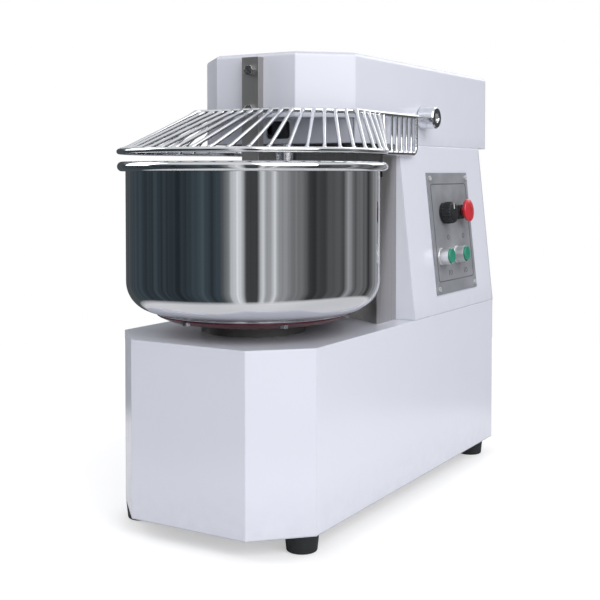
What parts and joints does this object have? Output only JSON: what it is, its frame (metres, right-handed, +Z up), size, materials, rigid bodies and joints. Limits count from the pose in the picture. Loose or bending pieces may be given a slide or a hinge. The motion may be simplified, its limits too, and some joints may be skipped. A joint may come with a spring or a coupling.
{
  "type": "spiral dough mixer",
  "caption": "Floor-standing spiral dough mixer with a turning steel bowl, spiral tool, breaker bar, lifting wire guard and a side control panel",
  "frame": {"origin": "on the floor under the middle of the machine's overall box", "axes": "+Z up, -Y to the front where the bowl is, +X to the side with the control panel"},
  "size_m": [0.3866, 0.7611, 0.6655],
  "materials": {
    "white_paint": "smooth gloss powder coat",
    "dark_steel": "dark machined casting",
    "galvanised_steel": "bright zinc",
    "black_rubber": "matt black rubber",
    "satin_stainless": "satin stainless steel",
    "polished_stainless": "polished stainless steel",
    "maroon_paint": "dark red paint",
    "machined_steel": "turned steel",
    "motor_aluminium": "die-cast aluminium",
    "black_plastic": "matt black plastic",
    "grey_panel": "matt grey plate",
    "bright_collar": "bright chromed collar",
    "dark_collar": "dark plastic collar",
    "red_plastic": "gloss red plastic",
    "green_plastic": "gloss green plastic"
  },
  "bodies": {
    "frame": {"base_shell": "white_paint", "column_shell": "white_paint", "rear_cover": "white_paint", "head_shell": "white_paint", "head_front_apron": "white_paint", "bowl_bearing_housing": "dark_steel", "spiral_bearing_housing": "dark_steel", "lower_shaft_bearing": "dark_steel", "upper_shaft_bearing": "dark_steel", "gear_reducer": "dark_steel", "head_base_plate": "dark_steel", "reducer_bracket": "dark_steel", "base_floor_pan": "galvanised_steel", "foot_screws": "galvanised_steel", "rear_cover_screws": "galvanised_steel", "panel_screws": "galvanised_steel", "spiral_bearing_bolts": "galvanised_steel", "breaker_bar_bolts": "galvanised_steel", "rubber_feet": "black_rubber", "bowl_belt": "black_rubber", "spiral_belt": "black_rubber", "column_front_shield": "satin_stainless", "breaker_bar": "satin_stainless", "motor_housing": "motor_aluminium", "motor_fan_cover": "black_plastic", "guard_switch": "black_plastic", "switch_blocks": "black_plastic", "guard_bushings": "black_plastic", "control_panel": "grey_panel", "start_button_collars": "bright_collar", "stop_button_collar": "dark_collar"},
    "bowl": {"bowl": "polished_stainless", "turntable": "satin_stainless", "turntable_ring": "maroon_paint", "bowl_bolts": "galvanised_steel", "bowl_shaft": "machined_steel", "bowl_pulley": "machined_steel"},
    "spiral": {"spiral_shaft": "satin_stainless", "spiral_hook": "satin_stainless", "spiral_pulley": "machined_steel"},
    "drive": {"drive_shaft": "machined_steel", "lower_drive_pulley": "machined_steel", "upper_drive_pulley": "machined_steel"},
    "guard": {"guard_frame": "polished_stainless", "guard_set_screws": "galvanised_steel", "guard_pivot_shaft": "machined_steel", "guard_cam": "machined_steel"},
    "selector": {"selector_knob": "black_plastic"},
    "stop": {"stop_button": "red_plastic"},
    "start_front": {"start_button_front": "green_plastic"},
    "start_rear": {"start_button_rear": "green_plastic"}
  },
  "joints": [
    {"name": "bowl_spin", "type": "hinge", "parent": "frame", "child": "bowl", "pos_m": [0, -0.1875, 0.28], "axis": [0, 0, 1], "continuous": true},
    {"name": "drive_spin", "type": "hinge", "parent": "frame", "child": "drive", "pos_m": [0, 0.1825, 0.3], "axis": [0, 0, 1], "continuous": true},
    {"name": "spiral_spin", "type": "hinge", "parent": "frame", "child": "spiral", "pos_m": [0, -0.0995, 0.55], "axis": [0, 0, 1], "continuous": true},
    {"name": "guard_lift", "type": "hinge", "parent": "frame", "child": "guard", "pos_m": [0, 0.1005, 0.5815], "axis": [-1, 0, 0], "range_deg": [0, 75]},
    {"name": "selector_turn", "type": "hinge", "parent": "frame", "child": "selector", "pos_m": [0.14229, 0.1585, 0.42832], "axis": [0.9942, 0, 0.1074], "range_deg": [-60, 60]},
    {"name": "stop_press", "type": "slide", "parent": "frame", "child": "stop", "axis": [-0.9942, 0, -0.1074], "range_m": [0, 0.005], "stiffness_N_per_m": 900},
    {"name": "start_front_press", "type": "slide", "parent": "frame", "child": "start_front", "axis": [-0.9942, 0, -0.1074], "range_m": [0, 0.004], "stiffness_N_per_m": 700},
    {"name": "start_rear_press", "type": "slide", "parent": "frame", "child": "start_rear", "axis": [-0.9942, 0, -0.1074], "range_m": [0, 0.004], "stiffness_N_per_m": 700}
  ],
  "couplings": [
    {"joint": "drive_spin", "follows": "bowl_spin", "ratio": 5.6479},
    {"joint": "spiral_spin", "follows": "bowl_spin", "ratio": 8.5175}
  ]
}
